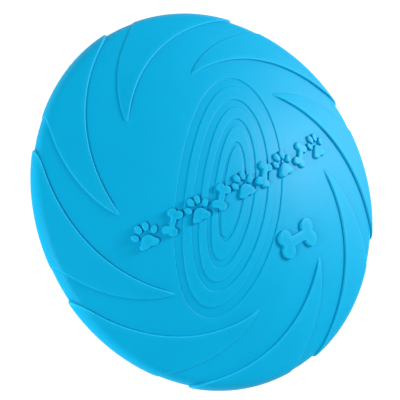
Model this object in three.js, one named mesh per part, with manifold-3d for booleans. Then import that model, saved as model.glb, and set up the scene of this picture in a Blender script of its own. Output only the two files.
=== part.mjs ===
// A domed flying disc for a dog, moulded in one piece of rubber.
// Eight swept blades stand out of the dome and run down over the rim, four oval grooves are sunk
// into the crown, and a row of small motifs stands out across it. The underside is hollow.
// Millimetres, +Z up. The origin is on the disc's axis, in the plane that the rim rests on.
// +X runs along the motif row and +Y points up the motifs.
import * as THREE from "three";
import { mergeVertices } from "three/addons/utils/BufferGeometryUtils.js";
import Module from "manifold-3d";

const degrees = THREE.MathUtils.degToRad;

// Driving dimensions of the whole disc. The radius is taken over the blades.
const DISC_RADIUS = 90;
const DISC_HEIGHT = 27;
const WALL_THICKNESS = 3.2;
const BLADE_RELIEF = 1.15;
const BLADE_TRAILING_RELIEF = 0.48;
const MOTIF_RELIEF = 1.3;
const GROOVE_DEPTH = 0.44;

// The skin between the blades: a round crown, a straight cone, a round shoulder and a round foot,
// each tangent to the next. Angles are the slope below horizontal.
const SKIN_RADIUS = DISC_RADIUS - BLADE_RELIEF;
const CROWN_RADIUS = 165;
const CONE_ANGLE = degrees(18.3);
const SHOULDER_RADIUS = 4.5;
const WALL_ANGLE = degrees(90);
const FOOT_RADIUS = 3;
const FOOT_END_ANGLE = degrees(180);
const BLADE_END_ANGLE = degrees(130);

// The thick rim, seen from below.
const RIM_WIDTH = 8;
const RIM_INNER_RADIUS = SKIN_RADIUS - RIM_WIDTH;
const RIM_INNER_ROUND = 1.5;
const RIM_INNER_END_ANGLE = degrees(270);
const HOLLOW_FILLET = 4;

// The blades. An edge leaves the tip and lags behind it by sweep * (distance out)^power radians,
// with the distance out counted in tip radii. The leading edge has the full relief, and the top
// falls across the blade to the trailing edge's.
const BLADE_COUNT = 8;
const BLADE_TIP_RADIUS = 55.8;
const BLADE_TIP_ANGLE = degrees(33);
const LEADING_EDGE = { sweep: 1.96, power: 0.88 };
const TRAILING_EDGE = { sweep: 1.11, power: 1.08 };

// The oval grooves: half length and half width of each groove's outer and inner edge.
const OVAL_CENTRE = [-2.5, -1];
const OVAL_ANGLE = degrees(50.6);
const OVAL_GROOVES = [
  { outer: [57.7, 26.7], inner: [53.1, 22.5] },
  { outer: [46.1, 18.7], inner: [41.9, 14.9] },
  { outer: [35.9, 11.6], inner: [32.2, 8.9] },
  { outer: [24, 6.2], inner: [21.8, 4.5] },
];

// The motif row of paw prints and bones by turns, and one larger bone below its right half.
// The pad of a paw print is given by the Bezier points down its right side.
const ROW_CENTRE = [3.6, -1.2];
const ROW_PITCH = 13.2;
const ROW_MOTIFS = 9;
const BONE = { halfLength: 7, knobRadius: 2.3, knobRise: 1.9, shaftHalfWidth: 1.5 };
const ROW_BONE_ANGLE = degrees(45);
const ROW_BONE_SCALE = 0.85;
const LARGE_BONE = { centre: [20.3, -34.6], scale: 1.6 };
const PAW_PAD = [
  [0, 0.6],
  [2.4, 0.6],
  [2.4, -1.8],
  [3.9, -2.7],
  [5.8, -5.2],
  [2.4, -6.3],
  [0, -4.9],
];
const PAW_TOES = [
  { centre: [-4.5, 1.2], halfSize: [1.3, 1.95], angle: degrees(24) },
  { centre: [-1.65, 4], halfSize: [1.35, 2.15], angle: degrees(7) },
  { centre: [1.65, 4], halfSize: [1.35, 2.15], angle: degrees(-7) },
  { centre: [4.5, 1.2], halfSize: [1.3, 1.95], angle: degrees(-24) },
];

// Facets, and how far a cutter reaches past the surface that it cuts or joins.
const TURN_SEGMENTS = 56;
const CROWN_STEPS = 3;
const ROUND_STEPS = 3;
const EDGE_STEPS = 8;
const OVAL_STEPS = 32;
const PAD_STEPS = 3;
const KNOB_STEPS = 6;
const TOE_STEPS = 8;
const OVERREACH = 4;
const ROOT_DEPTH = 1.5;
const MERGE_DISTANCE = 1e-4;

const RUBBER = new THREE.MeshStandardMaterial({
  color: 0x0bacdd,
  roughness: 0.55,
  metalness: 0,
});

const wasm = await Module();
wasm.setup();

// A closed three.js geometry as a manifold-3d solid, with its collapsed triangles left out.
function solidFrom(geometry) {
  const bare = geometry.index ? geometry.toNonIndexed() : geometry.clone();
  bare.deleteAttribute("normal");
  bare.deleteAttribute("uv");
  const merged = mergeVertices(bare, MERGE_DISTANCE);
  const corners = merged.index.array;
  const triangles = [];
  for (let i = 0; i < corners.length; i += 3) {
    const [a, b, c] = [corners[i], corners[i + 1], corners[i + 2]];
    if (a !== b && b !== c && c !== a) triangles.push(a, b, c);
  }
  return new wasm.Manifold(
    new wasm.Mesh({
      numProp: 3,
      vertProperties: merged.attributes.position.array,
      triVerts: new Uint32Array(triangles),
    }),
  );
}

// A manifold-3d solid as a three.js geometry with flat facets.
function geometryFrom(solid) {
  const mesh = solid.getMesh();
  const geometry = new THREE.BufferGeometry();
  geometry.setAttribute("position", new THREE.BufferAttribute(mesh.vertProperties, mesh.numProp));
  geometry.setIndex(new THREE.BufferAttribute(mesh.triVerts, 1));
  const faceted = geometry.toNonIndexed();
  faceted.computeVertexNormals();
  return faceted;
}

// Points of a profile arc between two slope angles.
function arcPoints(centre, radius, fromAngle, toAngle, steps) {
  return Array.from({ length: steps + 1 }, (_, i) => {
    const angle = THREE.MathUtils.lerp(fromAngle, toAngle, i / steps);
    return new THREE.Vector2(
      centre.x + radius * Math.sin(angle),
      centre.y + radius * Math.cos(angle),
    );
  });
}

const CROWN_CENTRE = new THREE.Vector2(0, DISC_HEIGHT - CROWN_RADIUS);
const CONE_NORMAL = new THREE.Vector2(Math.sin(CONE_ANGLE), Math.cos(CONE_ANGLE));

// The centre of a round of the given radius and place that is tangent to the cone from below.
function centreUnderCone(x, radius) {
  const distance = CROWN_RADIUS - radius;
  return new THREE.Vector2(x, CROWN_CENTRE.y + (distance - x * CONE_NORMAL.x) / CONE_NORMAL.y);
}

// The outline of the skin from the axis to the foot, moved outwards by an offset.
function skinPoints(offset, endAngle) {
  const shoulder = centreUnderCone(SKIN_RADIUS - SHOULDER_RADIUS, SHOULDER_RADIUS);
  const foot = new THREE.Vector2(SKIN_RADIUS - FOOT_RADIUS, FOOT_RADIUS);
  return [
    ...arcPoints(CROWN_CENTRE, CROWN_RADIUS + offset, 0, CONE_ANGLE, CROWN_STEPS),
    ...arcPoints(shoulder, SHOULDER_RADIUS + offset, CONE_ANGLE, WALL_ANGLE, ROUND_STEPS),
    ...arcPoints(foot, FOOT_RADIUS + offset, WALL_ANGLE, endAngle, ROUND_STEPS),
  ];
}

// The outline of the hollow from the rim's resting face up to the axis.
function hollowPoints() {
  const round = new THREE.Vector2(RIM_INNER_RADIUS + RIM_INNER_ROUND, RIM_INNER_ROUND);
  const fillet = centreUnderCone(
    RIM_INNER_RADIUS - HOLLOW_FILLET,
    WALL_THICKNESS + HOLLOW_FILLET,
  );
  const ceiling = CROWN_RADIUS - WALL_THICKNESS;
  return [
    ...arcPoints(round, RIM_INNER_ROUND, FOOT_END_ANGLE, RIM_INNER_END_ANGLE, ROUND_STEPS),
    ...arcPoints(fillet, HOLLOW_FILLET, WALL_ANGLE, CONE_ANGLE, ROUND_STEPS),
    ...arcPoints(CROWN_CENTRE, ceiling, CONE_ANGLE, 0, CROWN_STEPS),
  ];
}

// A profile that starts and ends on the axis, turned about +Z.
function turned(profile) {
  const onAxis = profile.map((point) => new THREE.Vector2(Math.max(point.x, 0), point.y));
  return solidFrom(new THREE.LatheGeometry(onAxis.reverse(), TURN_SEGMENTS).rotateX(Math.PI / 2));
}

// The plain shell, before any relief.
function shell() {
  return turned([...skinPoints(0, FOOT_END_ANGLE), ...hollowPoints()]);
}

// The layer between two offsets from the skin, down to where the blades end.
function skinLayer(low, high) {
  const outside = skinPoints(high, BLADE_END_ANGLE);
  const inside = skinPoints(low, BLADE_END_ANGLE).reverse();
  return turned([...outside, ...inside]);
}

// An upright prism over a plan outline, as tall as the disc and a little more.
function prism(outline) {
  const options = { depth: DISC_HEIGHT + OVERREACH, bevelEnabled: false };
  return solidFrom(new THREE.ExtrudeGeometry(outline, options));
}

// How far a blade's edge lags behind its tip at a plan radius, in radians.
function edgeLag(edge, radius) {
  return edge.sweep * Math.max(radius / BLADE_TIP_RADIUS - 1, 0) ** edge.power;
}

// One point of a blade's edge, at a share of the way from the tip to past the rim.
function edgePoint(edge, tipAngle, share) {
  const radius = THREE.MathUtils.lerp(BLADE_TIP_RADIUS, DISC_RADIUS + OVERREACH, share);
  const angle = tipAngle - edgeLag(edge, radius);
  return new THREE.Vector2(radius * Math.cos(angle), radius * Math.sin(angle));
}

// The plan outline of one blade: out along its leading edge and back along its trailing edge.
function bladeOutline(tipAngle) {
  const shares = Array.from({ length: EDGE_STEPS + 1 }, (_, i) => i / EDGE_STEPS);
  const leading = shares.map((share) => edgePoint(LEADING_EDGE, tipAngle, share));
  const trailing = shares.map((share) => edgePoint(TRAILING_EDGE, tipAngle, share));
  const rimMiddle = leading[EDGE_STEPS].clone().add(trailing[EDGE_STEPS]);
  rimMiddle.setLength(DISC_RADIUS + OVERREACH);
  return new THREE.Shape([...leading, rimMiddle, ...trailing.reverse().slice(0, -1)]);
}

// How far across a blade a point lies, from 0 at its leading edge to 1 at its trailing edge.
function shareAcross(point, tipAngle) {
  const radius = Math.hypot(point.x, point.y);
  const behindTip = tipAngle - Math.atan2(point.y, point.x);
  const lag = THREE.MathUtils.euclideanModulo(behindTip + Math.PI, 2 * Math.PI) - Math.PI;
  const leading = edgeLag(LEADING_EDGE, radius);
  const width = Math.max(leading - edgeLag(TRAILING_EDGE, radius), Number.EPSILON);
  return THREE.MathUtils.clamp((leading - lag) / width, 0, 1);
}

// The outward direction of the skin nearest to a point.
function skinNormal(point) {
  const place = new THREE.Vector2(Math.hypot(point.x, point.y), point.z);
  const shoulder = centreUnderCone(SKIN_RADIUS - SHOULDER_RADIUS, SHOULDER_RADIUS);
  const foot = new THREE.Vector2(SKIN_RADIUS - FOOT_RADIUS, FOOT_RADIUS);
  const slopeFrom = (centre) => Math.atan2(place.x - centre.x, place.y - centre.y);
  const dome = Math.max(Math.min(slopeFrom(CROWN_CENTRE), CONE_ANGLE), slopeFrom(shoulder));
  const slope = place.y > shoulder.y ? dome : Math.max(slopeFrom(foot), WALL_ANGLE);
  const across = Math.sin(slope) / place.x;
  return new THREE.Vector3(point.x * across, point.y * across, Math.cos(slope));
}

// One blade, cut from the blade layer and lowered towards its trailing edge.
function bladeSolid(index, layer) {
  const tipAngle = BLADE_TIP_ANGLE + (index * 2 * Math.PI) / BLADE_COUNT;
  const geometry = geometryFrom(prism(bladeOutline(tipAngle)).intersect(layer));
  const position = geometry.getAttribute("position");
  const fall = BLADE_RELIEF - BLADE_TRAILING_RELIEF;
  for (let i = 0; i < position.count; i += 1) {
    const corner = new THREE.Vector3().fromBufferAttribute(position, i);
    corner.addScaledVector(skinNormal(corner), -fall * shareAcross(corner, tipAngle));
    position.setXYZ(i, corner.x, corner.y, corner.z);
  }
  return solidFrom(geometry);
}

function ellipse(halfSize, centre, angle, steps) {
  const curve = new THREE.EllipseCurve(...centre, ...halfSize, 0, 2 * Math.PI, false, angle);
  return curve.getPoints(steps).slice(0, -1);
}

// The plan outline of one oval groove, a band between two ellipses.
function grooveOutline({ outer, inner }) {
  const outline = new THREE.Shape(ellipse(outer, OVAL_CENTRE, OVAL_ANGLE, OVAL_STEPS));
  outline.holes.push(new THREE.Path(ellipse(inner, OVAL_CENTRE, OVAL_ANGLE, OVAL_STEPS)));
  return outline;
}

// A point turned and moved from a motif's own place to its place on the disc.
function placed(point, centre, angle) {
  return point.clone().rotateAround(new THREE.Vector2(), angle).add(new THREE.Vector2(...centre));
}

// A bone: a shaft with two round knobs at each end.
function boneOutline(centre, angle, scale) {
  const { halfLength, knobRadius, knobRise, shaftHalfWidth } = BONE;
  const knobX = halfLength - knobRadius;
  const cleft = Math.asin(knobRise / knobRadius);
  const neck = Math.asin((knobRise - shaftHalfWidth) / knobRadius);
  const halfTurn = Math.PI;
  const bone = new THREE.Path();
  bone.absarc(knobX, knobRise, knobRadius, -cleft, halfTurn + neck, false);
  bone.absarc(-knobX, knobRise, knobRadius, -neck, halfTurn + cleft, false);
  bone.absarc(-knobX, -knobRise, knobRadius, halfTurn - cleft, 2 * halfTurn + neck, false);
  bone.absarc(knobX, -knobRise, knobRadius, halfTurn - neck, 2 * halfTurn + cleft, false);
  const points = bone.getPoints(KNOB_STEPS).map((point) => point.multiplyScalar(scale));
  return new THREE.Shape(points.map((point) => placed(point, centre, angle)));
}

// The main pad of a paw print, a rounded triangle with a notch in its base.
function padOutline(centre) {
  const rightSide = PAW_PAD.slice(1, -1);
  const leftSide = rightSide.map(([x, y]) => [-x, y]).reverse();
  const [top, base] = [PAW_PAD[0], PAW_PAD[PAW_PAD.length - 1]];
  const controls = [...rightSide, base, ...leftSide, top];
  const pad = new THREE.Path();
  pad.moveTo(...top);
  for (let i = 0; i < controls.length; i += 3) {
    pad.bezierCurveTo(...controls[i], ...controls[i + 1], ...controls[i + 2]);
  }
  const points = pad.getPoints(PAD_STEPS);
  return new THREE.Shape(points.map((point) => placed(point, centre, 0)));
}

// The outlines of one paw print: the main pad and four toes.
function pawOutlines(centre) {
  const toes = PAW_TOES.map((toe) => {
    const [x, y] = toe.centre;
    const place = [centre[0] + x, centre[1] + y];
    return new THREE.Shape(ellipse(toe.halfSize, place, toe.angle, TOE_STEPS));
  });
  return [padOutline(centre), ...toes];
}

// The outlines of the whole motif row and of the larger bone.
function motifOutlines() {
  const outlines = [boneOutline(LARGE_BONE.centre, 0, LARGE_BONE.scale)];
  for (let i = 0; i < ROW_MOTIFS; i += 1) {
    const x = ROW_CENTRE[0] + (i - (ROW_MOTIFS - 1) / 2) * ROW_PITCH;
    const centre = [x, ROW_CENTRE[1]];
    if (i % 2 === 0) outlines.push(...pawOutlines(centre));
    else outlines.push(boneOutline(centre, ROW_BONE_ANGLE, ROW_BONE_SCALE));
  }
  return outlines;
}

// The shell with its grooves cut and its blades and motifs joined on.
function discSolid() {
  const groove = skinLayer(-GROOVE_DEPTH, OVERREACH);
  const blade = skinLayer(-ROOT_DEPTH, BLADE_RELIEF);
  const motif = skinLayer(-ROOT_DEPTH, MOTIF_RELIEF);
  let solid = shell();
  for (const band of OVAL_GROOVES) {
    solid = solid.subtract(prism(grooveOutline(band)).intersect(groove));
  }
  for (let i = 0; i < BLADE_COUNT; i += 1) {
    solid = solid.add(bladeSolid(i, blade));
  }
  for (const outline of motifOutlines()) {
    solid = solid.add(prism(outline).intersect(motif));
  }
  return solid;
}

const disc = new THREE.Mesh(geometryFrom(discSolid()), RUBBER);
disc.name = "disc";

const flyingDisc = new THREE.Group();
flyingDisc.add(disc);

export default flyingDisc;
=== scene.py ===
import math

import bpy
import numpy as np
from mathutils import Matrix, Vector
from mathutils.geometry import delaunay_2d_cdt


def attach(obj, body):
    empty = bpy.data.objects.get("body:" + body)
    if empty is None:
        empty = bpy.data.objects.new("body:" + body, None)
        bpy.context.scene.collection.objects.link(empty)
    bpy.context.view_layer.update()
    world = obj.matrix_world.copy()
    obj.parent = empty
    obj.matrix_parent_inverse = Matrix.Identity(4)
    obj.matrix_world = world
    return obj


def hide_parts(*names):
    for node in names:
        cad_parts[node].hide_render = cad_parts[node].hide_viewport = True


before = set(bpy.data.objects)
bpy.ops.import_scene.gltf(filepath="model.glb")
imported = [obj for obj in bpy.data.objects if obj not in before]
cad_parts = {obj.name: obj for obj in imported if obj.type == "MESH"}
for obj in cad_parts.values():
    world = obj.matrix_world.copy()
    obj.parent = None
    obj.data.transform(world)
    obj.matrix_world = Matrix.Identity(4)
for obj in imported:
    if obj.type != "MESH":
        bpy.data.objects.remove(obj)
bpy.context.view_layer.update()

MM = 0.001

# The disc's sizes in millimetres, the same as the CAD part's.
DISC_HEIGHT = 27.0
BLADE_RELIEF = 1.15
BLADE_TRAILING_RELIEF = 0.48
MOTIF_RELIEF = 1.3
GROOVE_DEPTH = 0.44
SKIN_RADIUS = 90.0 - BLADE_RELIEF
WALL_THICKNESS = 3.2
CROWN_RADIUS = 165.0
CONE_ANGLE = math.radians(18.3)
SHOULDER_RADIUS = 4.5
FOOT_RADIUS = 3.0
RIM_INNER_RADIUS = SKIN_RADIUS - 8.0
RIM_INNER_ROUND = 1.5
HOLLOW_FILLET = 4.0

BLADE_COUNT = 8
BLADE_PITCH = 2 * math.pi / BLADE_COUNT
BLADE_TIP_RADIUS = 55.8
BLADE_TIP_ANGLE = math.radians(33)
LEADING_EDGE = (1.96, 0.88)
TRAILING_EDGE = (1.11, 1.08)
TIP_FADE = 2.5
# The trailing edges soften by this factor from near the tips to the rim, and every blade fades out
# between these two slopes of the skin, under the foot.
RIM_SOFTNESS = 1.6
SOFTENING_START = BLADE_TIP_RADIUS + 10
BLADE_FADE_SLOPES = (math.radians(95), math.radians(135))

OVAL_CENTRE = np.array([-2.5, -1.0])
OVAL_ANGLE = math.radians(50.6)
OVAL_GROOVES = [
    ((57.7, 26.7), (53.1, 22.5)),
    ((46.1, 18.7), (41.9, 14.9)),
    ((35.9, 11.6), (32.2, 8.9)),
    ((24.0, 6.2), (21.8, 4.5)),
]
# The share of the depth by which a groove's floor rises towards its inner edge.
GROOVE_RISE = 0.3

ROW_CENTRE = np.array([3.6, -1.2])
ROW_PITCH = 13.2
ROW_MOTIFS = 9
ROW_BONE_ANGLE = math.radians(45)
ROW_BONE_SCALE = 0.85
BONE_HALF_LENGTH, BONE_KNOB, BONE_RISE, BONE_SHAFT = 7.0, 2.3, 1.9, 1.5
LARGE_BONE_CENTRE = np.array([20.3, -34.6])
LARGE_BONE_SCALE = 1.6
PAW_PAD = [(0, 0.6), (2.4, 0.6), (2.4, -1.8), (3.9, -2.7), (5.8, -5.2), (2.4, -6.3), (0, -4.9)]
PAW_TOES = [
    ((-4.5, 1.2), (1.3, 1.95), 24),
    ((-1.65, 4.0), (1.35, 2.15), 7),
    ((1.65, 4.0), (1.35, 2.15), -7),
    ((4.5, 1.2), (1.3, 1.95), -24),
]

# Each step's height across it, from 0 below to 1 above, by the distance inside its edge.
LEADING_STEP = ([-0.55, -0.18, -0.05, 0.04, 0.13, 0.28, 0.6], [0, 0, 0.06, 0.6, 0.9, 0.98, 1])
TRAILING_STEP = ([-0.55, -0.2, -0.06, 0.03, 0.14, 0.3, 0.6], [0, 0, 0.07, 0.57, 0.88, 0.97, 1])
GROOVE_STEP = ([-0.5, -0.16, -0.05, 0.04, 0.12, 0.28, 0.6], [0, 0, 0.08, 0.62, 0.94, 1, 1])
MOTIF_STEP = ([-0.45, -0.15, -0.04, 0.03, 0.1, 0.2, 0.45], [0, 0, 0.06, 0.58, 0.88, 0.98, 1])

# How strongly the painted highlight on the lips and the painted shade in the creases show on each
# kind of step, and how far inside its edge the middle of each lies and how wide it is.
LEADING_PAINTED_LIGHT, TRAILING_PAINTED_LIGHT, GROOVE_PAINTED_LIGHT, MOTIF_PAINTED_LIGHT = 1.0, 0.4, 0.22, 0.7
LIP_HIGHLIGHT_PLACE, LIP_HIGHLIGHT_WIDTH = 0.25, 0.25
CREASE_SHADE_PLACE, CREASE_SHADE_WIDTH = -0.2, 0.22

# Point spacings of the mesh. Fill points keep clear of the features' rows, points closer than the
# merge distance become one, and the hollow has this many rings along each run of its profile.
TURN_STEPS = 360
PROFILE_STEPS = 24000
EDGE_SPACING = 0.9
MOTIF_SPACING = 0.4
FILL_SPACING = 1.7
RING_SPACING = 0.55
CLEARANCE = 0.8
MERGE_DISTANCE = 3e-3
RIM_START = 89.0
BLADE_ROW_GAP = 1.2
HOLLOW_RINGS = (3, 6, 2, 8, 14, 22)
FINE_SPACING = 0.02
CURVE_STEPS, KNOB_STEPS, PAD_STEPS = 2000, 39, 16

# The camera: its turns, and its place from the crown to its own right, upwards and backwards.
CAMERA_TILT = math.radians(31.429)
CAMERA_ROLL = math.radians(24.645)
CAMERA_TURN = math.radians(-2.616)
CAMERA_RIGHT, CAMERA_UP, CAMERA_BACK = -16.29, -6.27, 674.7
CAMERA_LENS = 134.3
SENSOR_WIDTH = 36

# The rubber: its colours, among them a painted highlight for the lips and painted shade for the
# creases, how far these replace the plain one, its gloss, and the scale of each noise. A relief is
# a bump's strength and its height in metres.
PLAIN_BLUE = (0.001, 0.38, 0.68)
MOTTLE_BLUE = (0.0015, 0.415, 0.72)
# The painted highlight colour for the lips and the painted shade colour for the creases.
LIP_HIGHLIGHT_BLUE = (0.02, 0.62, 0.92)
CREASE_SHADE_BLUE = (0.0005, 0.22, 0.45)
LIP_HIGHLIGHT_SHARE, CREASE_SHADE_SHARE = 0.65, 0.8
SPECULAR_LEVEL = 0.07
LOW_ROUGHNESS, HIGH_ROUGHNESS = 0.4, 0.5
MOTTLE_SCALE, PEEL_SCALE, GLOSS_SCALE, GRAIN_SCALE = 55, 260, 900, 2600
PEEL_RELIEF = (0.4, 0.00012)
GRAIN_RELIEF = (0.6, 0.00009)

# The studio, in metres and watts: the lights, and the backdrop's radii and heights.
LIGHT_DISTANCE = 1.1
LIGHT_SIZE = 0.4
LIGHT_RISE = math.radians(28)
KEY_POWER, FILL_POWER = 15, 9.3
SURROUND_STRENGTH = 0.2
BACKDROP = [(2.4, 0), (2.65, 0.02), (2.85, 0.08), (2.95, 0.18), (3.0, 0.4)]
FLOOR_DROP = 0.0003
FLOOR_COLOUR, FLOOR_GLOW, FLOOR_ROUGHNESS = 0.4, 0.8, 0.9


def make_camera():
    """The camera looks down from the disc's -X side. Returns the level direction ahead of it."""
    row = Matrix.Rotation(CAMERA_TURN, 3, "Z")
    cos_t, sin_t = math.cos(CAMERA_TILT), math.sin(CAMERA_TILT)
    cos_r, sin_r = math.cos(CAMERA_ROLL), math.sin(CAMERA_ROLL)
    right = row @ Vector((cos_t * cos_r, -sin_r, sin_t * cos_r))
    up = row @ Vector((cos_t * sin_r, cos_r, sin_t * sin_r))
    back = row @ Vector((-sin_t, 0, cos_t))
    place = Vector((0, 0, DISC_HEIGHT)) + CAMERA_RIGHT * right + CAMERA_UP * up + CAMERA_BACK * back
    data = bpy.data.cameras.new("camera")
    data.sensor_width = SENSOR_WIDTH
    data.lens = CAMERA_LENS
    camera = bpy.data.objects.new("camera", data)
    turn = Matrix((right, up, back)).transposed().to_4x4()
    camera.matrix_world = Matrix.Translation(place * MM) @ turn
    bpy.context.scene.collection.objects.link(camera)
    bpy.context.scene.camera = camera
    return row @ Vector((1, 0, 0))


def cone_centre_height(x, radius):
    """Height of the centre of a round that touches the cone from below."""
    reach = (CROWN_RADIUS - radius - x * math.sin(CONE_ANGLE)) / math.cos(CONE_ANGLE)
    return DISC_HEIGHT - CROWN_RADIUS + reach


def profile_knots():
    """Arc lengths and slopes where the profile changes, from the crown round to the hollow."""
    sin_c, cos_c, quarter = math.sin(CONE_ANGLE), math.cos(CONE_ANGLE), math.pi / 2
    shoulder_x = SKIN_RADIUS - SHOULDER_RADIUS
    shoulder_z = cone_centre_height(shoulder_x, SHOULDER_RADIUS)
    fillet_x = RIM_INNER_RADIUS - HOLLOW_FILLET
    fillet_z = cone_centre_height(fillet_x, WALL_THICKNESS + HOLLOW_FILLET)
    ceiling = CROWN_RADIUS - WALL_THICKNESS
    lengths = [
        CROWN_RADIUS * CONE_ANGLE,
        (shoulder_x + (SHOULDER_RADIUS - CROWN_RADIUS) * sin_c) / cos_c,
        SHOULDER_RADIUS * (quarter - CONE_ANGLE),
        shoulder_z - FOOT_RADIUS,
        FOOT_RADIUS * quarter,
        SKIN_RADIUS - FOOT_RADIUS - RIM_INNER_RADIUS - RIM_INNER_ROUND,
        RIM_INNER_ROUND * quarter,
        fillet_z - RIM_INNER_ROUND,
        HOLLOW_FILLET * (quarter - CONE_ANGLE),
        (fillet_x + (HOLLOW_FILLET - ceiling) * sin_c) / cos_c,
        ceiling * CONE_ANGLE,
    ]
    half = math.pi
    slopes = [0, CONE_ANGLE, CONE_ANGLE, quarter, quarter, half, half, 3 * quarter, 3 * quarter]
    slopes += [half + CONE_ANGLE, half + CONE_ANGLE, half]
    return np.concatenate([[0], np.cumsum(lengths)]), np.array(slopes)


KNOTS, KNOT_SLOPES = profile_knots()
WALL_START, FOOT_END = KNOTS[3], KNOTS[5]
TABLE = np.linspace(0, KNOTS[-1], PROFILE_STEPS + 1)
TABLE_SLOPE = np.interp(TABLE, KNOTS, KNOT_SLOPES)


def summed(values):
    """Running integral of a value along the profile."""
    return np.concatenate([[0], np.cumsum((values[1:] + values[:-1]) / 2 * np.diff(TABLE))])


TABLE_RADIUS = summed(np.cos(TABLE_SLOPE))
TABLE_HEIGHT = DISC_HEIGHT - summed(np.sin(TABLE_SLOPE))
DOME = TABLE <= WALL_START


def plan_radius(s):
    """Plan radius at an arc length down the skin, held at its largest below the shoulder."""
    return np.interp(np.minimum(s, WALL_START), TABLE, TABLE_RADIUS)


def arc_length(radius):
    """Arc length down the skin at a plan radius."""
    return np.interp(radius, TABLE_RADIUS[DOME], TABLE[DOME])


def sheet(plan):
    """Plan points moved to the flat sheet, where the radius is the arc length from the crown."""
    radius = np.maximum(np.hypot(plan[:, 0], plan[:, 1]), 1e-9)
    return plan * (arc_length(radius) / radius)[:, None]


def edge_lag(radius, edge):
    """How far a blade's edge lags behind its tip, in radians."""
    sweep, power = edge
    return sweep * np.maximum(radius / BLADE_TIP_RADIUS - 1, 1e-5) ** power


def edge_stretch(radius, edge):
    """Angle per millimetre across a blade's edge."""
    sweep, power = edge
    q = np.maximum(radius / BLADE_TIP_RADIUS - 1, 1e-2)
    slant = radius * sweep * power * q ** (power - 1) / BLADE_TIP_RADIUS
    return np.sqrt(1 + slant**2) / radius


def smooth(value, low, high):
    """A rounded ramp from 0 at low to 1 at high."""
    t = np.clip((value - low) / (high - low), 0, 1)
    return t * t * (3 - 2 * t)


def step(distance, shape):
    """A step's share of its full height, by the distance inside its edge."""
    return np.interp(distance, *shape)


def painted_edge_light(distance):
    """Painted shade in the crease below an edge and painted highlight on the lip, by distance
    inside it.
    """
    lip = np.exp(-(((distance - LIP_HIGHLIGHT_PLACE) / LIP_HIGHLIGHT_WIDTH) ** 2))
    crease = np.exp(-(((distance - CREASE_SHADE_PLACE) / CREASE_SHADE_WIDTH) ** 2))
    return lip - crease


def blade_height(s, phi):
    """Height of the blades, and the painted highlight and shade along their edges."""
    radius = plan_radius(s)
    trail, lead = edge_lag(radius, TRAILING_EDGE), edge_lag(radius, LEADING_EDGE)
    width = lead - trail
    inside = (BLADE_TIP_ANGLE - phi - trail) % BLADE_PITCH
    inside = np.where(inside > (width + BLADE_PITCH) / 2, inside - BLADE_PITCH, inside)
    from_lead = (width - inside) / edge_stretch(radius, LEADING_EDGE)
    softness = 1 + (RIM_SOFTNESS - 1) * smooth(radius, SOFTENING_START, SKIN_RADIUS)
    from_trail = inside / edge_stretch(radius, TRAILING_EDGE)
    share = np.clip(1 - inside / np.maximum(width, 1e-6), 0, 1)
    slope = np.interp(s, KNOTS, KNOT_SLOPES)
    fade = smooth(radius, BLADE_TIP_RADIUS, BLADE_TIP_RADIUS + TIP_FADE)
    fade = fade * (1 - smooth(slope, *BLADE_FADE_SLOPES))
    level = (BLADE_RELIEF + (BLADE_TRAILING_RELIEF - BLADE_RELIEF) * share) * fade
    height = level * step(from_lead, LEADING_STEP) * step(from_trail / softness, TRAILING_STEP)
    strength = np.where(from_lead < from_trail, LEADING_PAINTED_LIGHT, TRAILING_PAINTED_LIGHT) * fade
    return height, painted_edge_light(np.minimum(from_lead, from_trail)) * strength


def ellipse_distance(plan, half_size):
    """Distance inside an ellipse of the oval pattern, close to its edge."""
    cos_a, sin_a = math.cos(OVAL_ANGLE), math.sin(OVAL_ANGLE)
    moved = plan - OVAL_CENTRE
    x = moved[:, 0] * cos_a + moved[:, 1] * sin_a
    y = moved[:, 1] * cos_a - moved[:, 0] * sin_a
    a, b = half_size
    ring = np.sqrt((x / a) ** 2 + (y / b) ** 2)
    gradient = np.sqrt((x / a**2) ** 2 + (y / b**2) ** 2) / np.maximum(ring, 1e-6)
    return (1 - ring) / np.maximum(gradient, 1e-6)


def groove_height(plan):
    """Depth of the oval grooves, deepest at the outer edge, and the painted highlight and shade at
    their edges.
    """
    height, painted_shading = np.zeros(len(plan)), np.zeros(len(plan))
    for outer, inner in OVAL_GROOVES:
        from_outer = ellipse_distance(plan, outer)
        from_inner = -ellipse_distance(plan, inner)
        across = np.maximum(from_outer, 0) + np.maximum(from_inner, 0)
        share = np.clip(from_outer / np.maximum(across, 1e-6), 0, 1)
        walls = step(from_outer, GROOVE_STEP) * step(from_inner, GROOVE_STEP)
        height -= GROOVE_DEPTH * (1 - GROOVE_RISE * share) * walls
        painted_shading += GROOVE_PAINTED_LIGHT * painted_edge_light(-np.minimum(from_outer, from_inner))
    return height, painted_shading


def turned(points, angle, centre):
    """Plan points turned about the origin and then moved to a centre."""
    cos_a, sin_a = math.cos(angle), math.sin(angle)
    return np.array(points) @ np.array([[cos_a, sin_a], [-sin_a, cos_a]]) + centre


def ellipse_points(half_size, spacing):
    """Points at an even spacing round an ellipse."""
    a, b = half_size
    fine = np.linspace(0, 2 * math.pi, CURVE_STEPS + 1)
    runs = np.hypot(*np.diff([a * np.cos(fine), b * np.sin(fine)]))
    along = np.concatenate([[0], np.cumsum(runs)])
    count = max(12, round(along[-1] / spacing))
    t = np.interp(np.linspace(0, along[-1], count, endpoint=False), along, fine)
    return np.column_stack([a * np.cos(t), b * np.sin(t)])


def respaced(points, spacing):
    """A closed outline with its points at an even spacing."""
    closed = np.vstack([points, points[:1]])
    along = np.concatenate([[0], np.cumsum(np.hypot(*np.diff(closed, axis=0).T))])
    at = np.linspace(0, along[-1], round(along[-1] / spacing), endpoint=False)
    return np.column_stack([np.interp(at, along, closed[:, i]) for i in (0, 1)])


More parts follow.
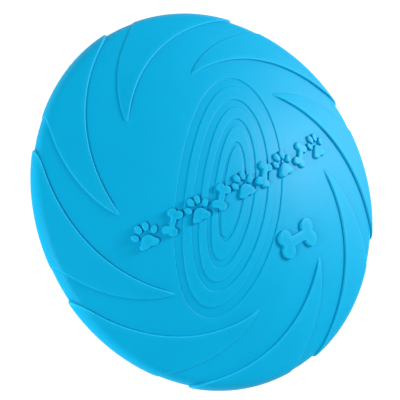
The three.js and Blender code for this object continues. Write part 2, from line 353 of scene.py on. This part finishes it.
def bone_points(scale):
    """A bone: a shaft with two round knobs at each end."""
    knob_x = BONE_HALF_LENGTH - BONE_KNOB
    cleft = math.asin(BONE_RISE / BONE_KNOB)
    neck = math.asin((BONE_RISE - BONE_SHAFT) / BONE_KNOB)
    t = np.linspace(-cleft, math.pi + neck, KNOB_STEPS + 1)
    knob = np.column_stack([knob_x + BONE_KNOB * np.cos(t), BONE_RISE + BONE_KNOB * np.sin(t)])
    top = np.vstack([knob, knob[::-1] * [-1, 1]])
    return respaced(np.vstack([top, -top]) * scale, MOTIF_SPACING)


def pad_points():
    """The main pad of a paw print, from Bezier points down its right side."""
    right = np.array(PAW_PAD, float)
    controls = np.vstack([right, (right * [-1, 1])[::-1][1:]])
    t = np.linspace(0, 1, PAD_STEPS, endpoint=False)[:, None]
    runs = []
    for i in range(0, len(controls) - 1, 3):
        a, b, c, d = controls[i : i + 4]
        runs.append((1 - t) ** 3 * a + 3 * t * (1 - t) ** 2 * b + 3 * t**2 * (1 - t) * c + t**3 * d)
    return respaced(np.vstack(runs), MOTIF_SPACING)


def motif_outlines():
    """Plan outlines of the row of paw prints and bones and of the larger bone."""
    outlines = [turned(bone_points(LARGE_BONE_SCALE), 0, LARGE_BONE_CENTRE)]
    for i in range(ROW_MOTIFS):
        centre = ROW_CENTRE + [(i - (ROW_MOTIFS - 1) / 2) * ROW_PITCH, 0]
        if i % 2:
            outlines.append(turned(bone_points(ROW_BONE_SCALE), ROW_BONE_ANGLE, centre))
            continue
        outlines.append(pad_points() + centre)
        for place, half_size, angle in PAW_TOES:
            toe = ellipse_points(half_size, MOTIF_SPACING)
            outlines.append(turned(toe, math.radians(angle), centre + place))
    return outlines


def signed_distance(points, outline):
    """Distance from each point to a closed outline, positive inside."""
    start, run = outline, np.roll(outline, -1, 0) - outline
    gap = points[:, None] - start[None]
    along = np.clip((gap * run).sum(2) / (run**2).sum(1), 0, 1)
    distance = np.sqrt(((gap - along[..., None] * run) ** 2).sum(2).min(1))
    above = gap[..., 1] < 0
    crosses = above != np.roll(above, -1, 1)
    rise = np.where(run[:, 1] == 0, 1e-9, run[:, 1])
    left = gap[..., 0] < gap[..., 1] * run[:, 0] / rise
    inside = (crosses & left).sum(1) % 2 == 1
    return np.where(inside, distance, -distance)


def motif_share(plan, outlines):
    """How far up a motif's side each point is, from 0 to 1, and the painted highlight and shade at
    its edge.
    """
    share, nearest = np.zeros(len(plan)), np.full(len(plan), -9.0)
    for outline in outlines:
        low, high = outline.min(0) - 1, outline.max(0) + 1
        near = np.nonzero(((plan > low) & (plan < high)).all(1))[0]
        distance = signed_distance(plan[near], outline)
        share[near] = np.maximum(share[near], step(distance, MOTIF_STEP))
        nearest[near] = np.maximum(nearest[near], distance)
    return share, MOTIF_PAINTED_LIGHT * painted_edge_light(nearest)


def outline_rows(outline, offsets):
    """Copies of a closed outline moved inwards by each offset."""
    along = np.roll(outline, -1, 0) - np.roll(outline, 1, 0)
    inward = np.column_stack([-along[:, 1], along[:, 0]]) / np.hypot(*along.T)[:, None]
    return [outline + inward * offset for offset in offsets]


def blade_rows(edge, offsets, sign):
    """Rows of sheet points that follow one edge of every blade down to near the foot's end."""
    s = np.arange(arc_length(BLADE_TIP_RADIUS), FOOT_END - BLADE_ROW_GAP, FINE_SPACING)
    lag = edge_lag(plan_radius(s), edge)
    along = np.concatenate([[0], np.cumsum(np.hypot(np.diff(s), s[1:] * np.diff(lag)))])
    at = np.linspace(0, along[-1], round(along[-1] / EDGE_SPACING))
    s, lag = np.interp(at, along, s), np.interp(at, along, lag)
    stretch = edge_stretch(plan_radius(s), edge)
    rows = []
    for blade in range(BLADE_COUNT):
        for offset in offsets:
            phi = BLADE_TIP_ANGLE + blade * BLADE_PITCH - lag + sign * offset * stretch
            rows.append(np.column_stack([s * np.cos(phi), s * np.sin(phi)]))
    return rows


def feature_rows(outlines):
    """Every row of sheet points that must become mesh edges, and whether it is closed."""
    rows = [(r, False) for r in blade_rows(LEADING_EDGE, LEADING_STEP[0], 1)]
    rows += [(r, False) for r in blade_rows(TRAILING_EDGE, TRAILING_STEP[0], -1)]
    for band in OVAL_GROOVES:
        for half_size, side in zip(band, (1, -1)):
            oval = turned(ellipse_points(half_size, EDGE_SPACING), OVAL_ANGLE, OVAL_CENTRE)
            offsets = [side * d for d in GROOVE_STEP[0]]
            rows += [(sheet(r), True) for r in outline_rows(oval, offsets)]
    for outline in outlines:
        rows += [(sheet(r), True) for r in outline_rows(outline, MOTIF_STEP[0])]
    return rows


def clear_of(points, taken, clearance):
    """The points that have no taken point in their own or a neighbouring square."""
    size = int(2 * FOOT_END / clearance) + 8
    grid = np.zeros((size, size), bool)
    cell = ((taken + FOOT_END) / clearance).astype(int) + 2
    for dx in (-1, 0, 1):
        for dy in (-1, 0, 1):
            grid[cell[:, 0] + dx, cell[:, 1] + dy] = True
    own = ((points + FOOT_END) / clearance).astype(int) + 2
    return points[~grid[own[:, 0], own[:, 1]]]


def fill_points():
    """An even scatter over the dome, and close rings over the shoulder and rim."""
    count = int(RIM_START / FILL_SPACING) + 1
    i, j = np.meshgrid(np.arange(-count, count + 1), np.arange(-2 * count, 2 * count + 1))
    x = (i + 0.5 * (j % 2)) * FILL_SPACING
    y = j * FILL_SPACING * math.sqrt(3) / 2
    dome = np.column_stack([x.ravel(), y.ravel()])
    dome = dome[np.hypot(*dome.T) < RIM_START - FILL_SPACING / 2]
    rings = np.linspace(RIM_START, FOOT_END, int((FOOT_END - RIM_START) / RING_SPACING))[:-1]
    phi = np.arange(TURN_STEPS) * 2 * math.pi / TURN_STEPS
    rim = [np.column_stack([s * np.cos(phi), s * np.sin(phi)]) for s in rings]
    return np.vstack([dome, *rim])


def sheet_mesh(outlines):
    """Triangles over the flat sheet whose edges follow every feature, and the ring at the foot."""
    phi = np.arange(TURN_STEPS) * 2 * math.pi / TURN_STEPS
    ring = FOOT_END * np.column_stack([np.cos(phi), np.sin(phi)])
    points, first = [ring], TURN_STEPS
    edges = [(i, (i + 1) % TURN_STEPS) for i in range(TURN_STEPS)]
    for row, closed in feature_rows(outlines):
        n = len(row)
        edges += [(first + i, first + (i + 1) % n) for i in range(n if closed else n - 1)]
        points.append(row)
        first += n
    points.append(clear_of(fill_points(), np.vstack(points[1:]), CLEARANCE))
    flat = [Vector(p) for p in np.vstack(points)]
    found = delaunay_2d_cdt(flat, edges, [], 0, MERGE_DISTANCE, True)
    foot = [0] * TURN_STEPS
    for new, old in enumerate(found[3]):
        for i in old:
            if i < TURN_STEPS:
                foot[i] = new
    return np.array([tuple(v) for v in found[0]]), [tuple(f) for f in found[2]], foot


def lifted(s, phi, height):
    """Points at an arc length, an angle and a height off the skin, in metres."""
    slope = np.interp(s, KNOTS, KNOT_SLOPES)
    radius = np.interp(s, TABLE, TABLE_RADIUS) + height * np.sin(slope)
    z = np.interp(s, TABLE, TABLE_HEIGHT) + height * np.cos(slope)
    return np.column_stack([radius * np.cos(phi), radius * np.sin(phi), z]) * MM


def top_points(flat, outlines):
    """The skin with its blades, grooves and motifs, and the painted highlight and shade at their
    edges.
    """
    s, phi = np.hypot(*flat.T), np.arctan2(flat[:, 1], flat[:, 0])
    plan = plan_radius(s)[:, None] * np.column_stack([np.cos(phi), np.sin(phi)])
    blades, blade_painted_shading = blade_height(s, phi)
    grooves, groove_painted_shading = groove_height(plan)
    share, motif_painted_shading = motif_share(plan, outlines)
    height = (blades + grooves) * (1 - share) + MOTIF_RELIEF * share
    return lifted(s, phi, height), (blade_painted_shading + groove_painted_shading) * (1 - share) + motif_painted_shading


def hollow_stations():
    """Arc lengths of the rings from the foot up to near the axis under the crown."""
    ends = KNOTS[5:]
    runs = [
        np.linspace(start, end, count + 1)[1:]
        for start, end, count in zip(ends, ends[1:], HOLLOW_RINGS)
    ]
    return np.concatenate(runs)[:-1]


def make_disc():
    """One closed mesh: the sheet on top, and turned rings for the hollow."""
    outlines = motif_outlines()
    flat, faces, ring = sheet_mesh(outlines)
    top, painted_shading = top_points(flat, outlines)
    phi = np.arange(TURN_STEPS) * 2 * math.pi / TURN_STEPS
    parts = [top]
    count = len(top)
    for s in hollow_stations():
        parts.append(lifted(np.full(TURN_STEPS, s), phi, 0))
        below = list(range(count, count + TURN_STEPS))
        for i in range(TURN_STEPS):
            j = (i + 1) % TURN_STEPS
            faces.append((ring[i], below[i], below[j], ring[j]))
        ring = below
        count += TURN_STEPS
    parts.append(np.array([[0, 0, (DISC_HEIGHT - WALL_THICKNESS) * MM]]))
    faces += [(ring[i], count, ring[(i + 1) % TURN_STEPS]) for i in range(TURN_STEPS)]
    points = np.vstack(parts)
    mesh = bpy.data.meshes.new("rubber_disc")
    mesh.from_pydata(points.tolist(), [], faces)
    mesh.validate()
    # The painted highlight on the lips and painted shade in the creases, kept on each point.
    painted_shading_values = np.zeros(len(mesh.vertices), np.float32)
    painted_shading_values[: len(painted_shading)] = painted_shading
    mesh.attributes.new("painted_shading", "FLOAT", "POINT").data.foreach_set("value", painted_shading_values)
    mesh.shade_smooth()
    disc = bpy.data.objects.new("rubber_disc", mesh)
    bpy.context.scene.collection.objects.link(disc)
    return disc


def rubber_material():
    """Satin blue rubber with a fine grain, faint mottling, painted highlights on lips and painted
    shade in creases.
    """
    material = bpy.data.materials.new("blue_rubber")
    material.use_nodes = True
    nodes, link = material.node_tree.nodes, material.node_tree.links.new
    shader = nodes["Principled BSDF"]
    shader.inputs["Specular IOR Level"].default_value = SPECULAR_LEVEL
    place = nodes.new("ShaderNodeTexCoord").outputs["Object"]

    def noise(scale, detail):
        node = nodes.new("ShaderNodeTexNoise")
        node.inputs["Scale"].default_value = scale
        node.inputs["Detail"].default_value = detail
        link(place, node.inputs["Vector"])
        return node.outputs["Fac"]

    def spread(source, low, high, source_end=1):
        node = nodes.new("ShaderNodeMapRange")
        node.inputs["From Max"].default_value = source_end
        node.inputs["To Min"].default_value = low
        node.inputs["To Max"].default_value = high
        link(source, node.inputs["Value"])
        return node.outputs["Result"]

    def blend(factor, second, first):
        node = nodes.new("ShaderNodeMix")
        node.data_type = "RGBA"
        node.inputs["B"].default_value = (*second, 1)
        link(factor, node.inputs["Factor"])
        link(first, node.inputs["A"])
        return node.outputs["Result"]

    plain = nodes.new("ShaderNodeRGB").outputs["Color"]
    plain.default_value = (*PLAIN_BLUE, 1)
    # The painted highlight on the lips and painted shade in the creases, read from each point.
    painted_shading = nodes.new("ShaderNodeAttribute")
    painted_shading.attribute_name = "painted_shading"
    colour = blend(noise(MOTTLE_SCALE, 3), MOTTLE_BLUE, plain)
    colour = blend(spread(painted_shading.outputs["Fac"], 0, LIP_HIGHLIGHT_SHARE), LIP_HIGHLIGHT_BLUE, colour)
    colour = blend(spread(painted_shading.outputs["Fac"], 0, CREASE_SHADE_SHARE, -1), CREASE_SHADE_BLUE, colour)
    link(colour, shader.inputs["Base Color"])
    gloss = spread(noise(GLOSS_SCALE, 2), LOW_ROUGHNESS, HIGH_ROUGHNESS)
    link(gloss, shader.inputs["Roughness"])

    def bump(scale, relief):
        node = nodes.new("ShaderNodeBump")
        node.inputs["Strength"].default_value, node.inputs["Distance"].default_value = relief
        link(noise(scale, 2), node.inputs["Height"])
        return node

    peel = bump(PEEL_SCALE, PEEL_RELIEF)
    grain = bump(GRAIN_SCALE, GRAIN_RELIEF)
    link(peel.outputs["Normal"], grain.inputs["Normal"])
    link(grain.outputs["Normal"], shader.inputs["Normal"])
    return material


def area_light(name, direction, power):
    """A round light that faces the disc from a direction."""
    data = bpy.data.lights.new(name, "AREA")
    data.shape = "DISK"
    data.size = LIGHT_SIZE
    data.energy = power
    lamp = bpy.data.objects.new(name, data)
    lamp.location = direction.normalized() * LIGHT_DISTANCE
    lamp.rotation_euler = direction.to_track_quat("Z", "Y").to_euler()
    bpy.context.scene.collection.objects.link(lamp)


def make_backdrop():
    """A plain white floor, turned up far out. It glows, so that the disc's shadow stays faint."""
    turn = [2 * math.pi * i / TURN_STEPS for i in range(TURN_STEPS)]
    points = [(r * math.cos(t), r * math.sin(t), z) for r, z in BACKDROP for t in turn]
    faces = [tuple(range(TURN_STEPS))]
    for first in range(0, len(points) - TURN_STEPS, TURN_STEPS):
        for i in range(TURN_STEPS):
            a, b = first + i, first + (i + 1) % TURN_STEPS
            faces.append((a, b, b + TURN_STEPS, a + TURN_STEPS))
    mesh = bpy.data.meshes.new("floor")
    mesh.from_pydata(points, [], faces)
    floor = bpy.data.objects.new("floor", mesh)
    floor.location.z = -FLOOR_DROP
    material = bpy.data.materials.new("floor_paint")
    material.use_nodes = True
    sockets = material.node_tree.nodes["Principled BSDF"].inputs
    sockets["Base Color"].default_value = (FLOOR_COLOUR, FLOOR_COLOUR, FLOOR_COLOUR, 1)
    sockets["Roughness"].default_value = FLOOR_ROUGHNESS
    sockets["Specular IOR Level"].default_value = 0
    sockets["Emission Color"].default_value = (1, 1, 1, 1)
    sockets["Emission Strength"].default_value = FLOOR_GLOW
    floor.data.materials.append(material)
    bpy.context.scene.collection.objects.link(floor)


def make_studio(ahead):
    """Two broad soft lights on opposite sides of the disc, and a faint even surround."""
    scene = bpy.context.scene
    scene.view_settings.view_transform = "Standard"
    world = bpy.data.worlds.new("surround")
    scene.world = world
    world.use_nodes = True
    sockets = world.node_tree.nodes["Background"].inputs
    sockets["Color"].default_value = (1, 1, 1, 1)
    sockets["Strength"].default_value = SURROUND_STRENGTH
    world.cycles_visibility.glossy = False
    across = ahead * math.cos(LIGHT_RISE)
    up = Vector((0, 0, math.sin(LIGHT_RISE)))
    area_light("key", up + across, KEY_POWER)
    area_light("fill", up - across, FILL_POWER)


make_studio(make_camera())
make_backdrop()
disc = make_disc()
disc.data.materials.append(rubber_material())
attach(disc, "root")
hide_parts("disc")
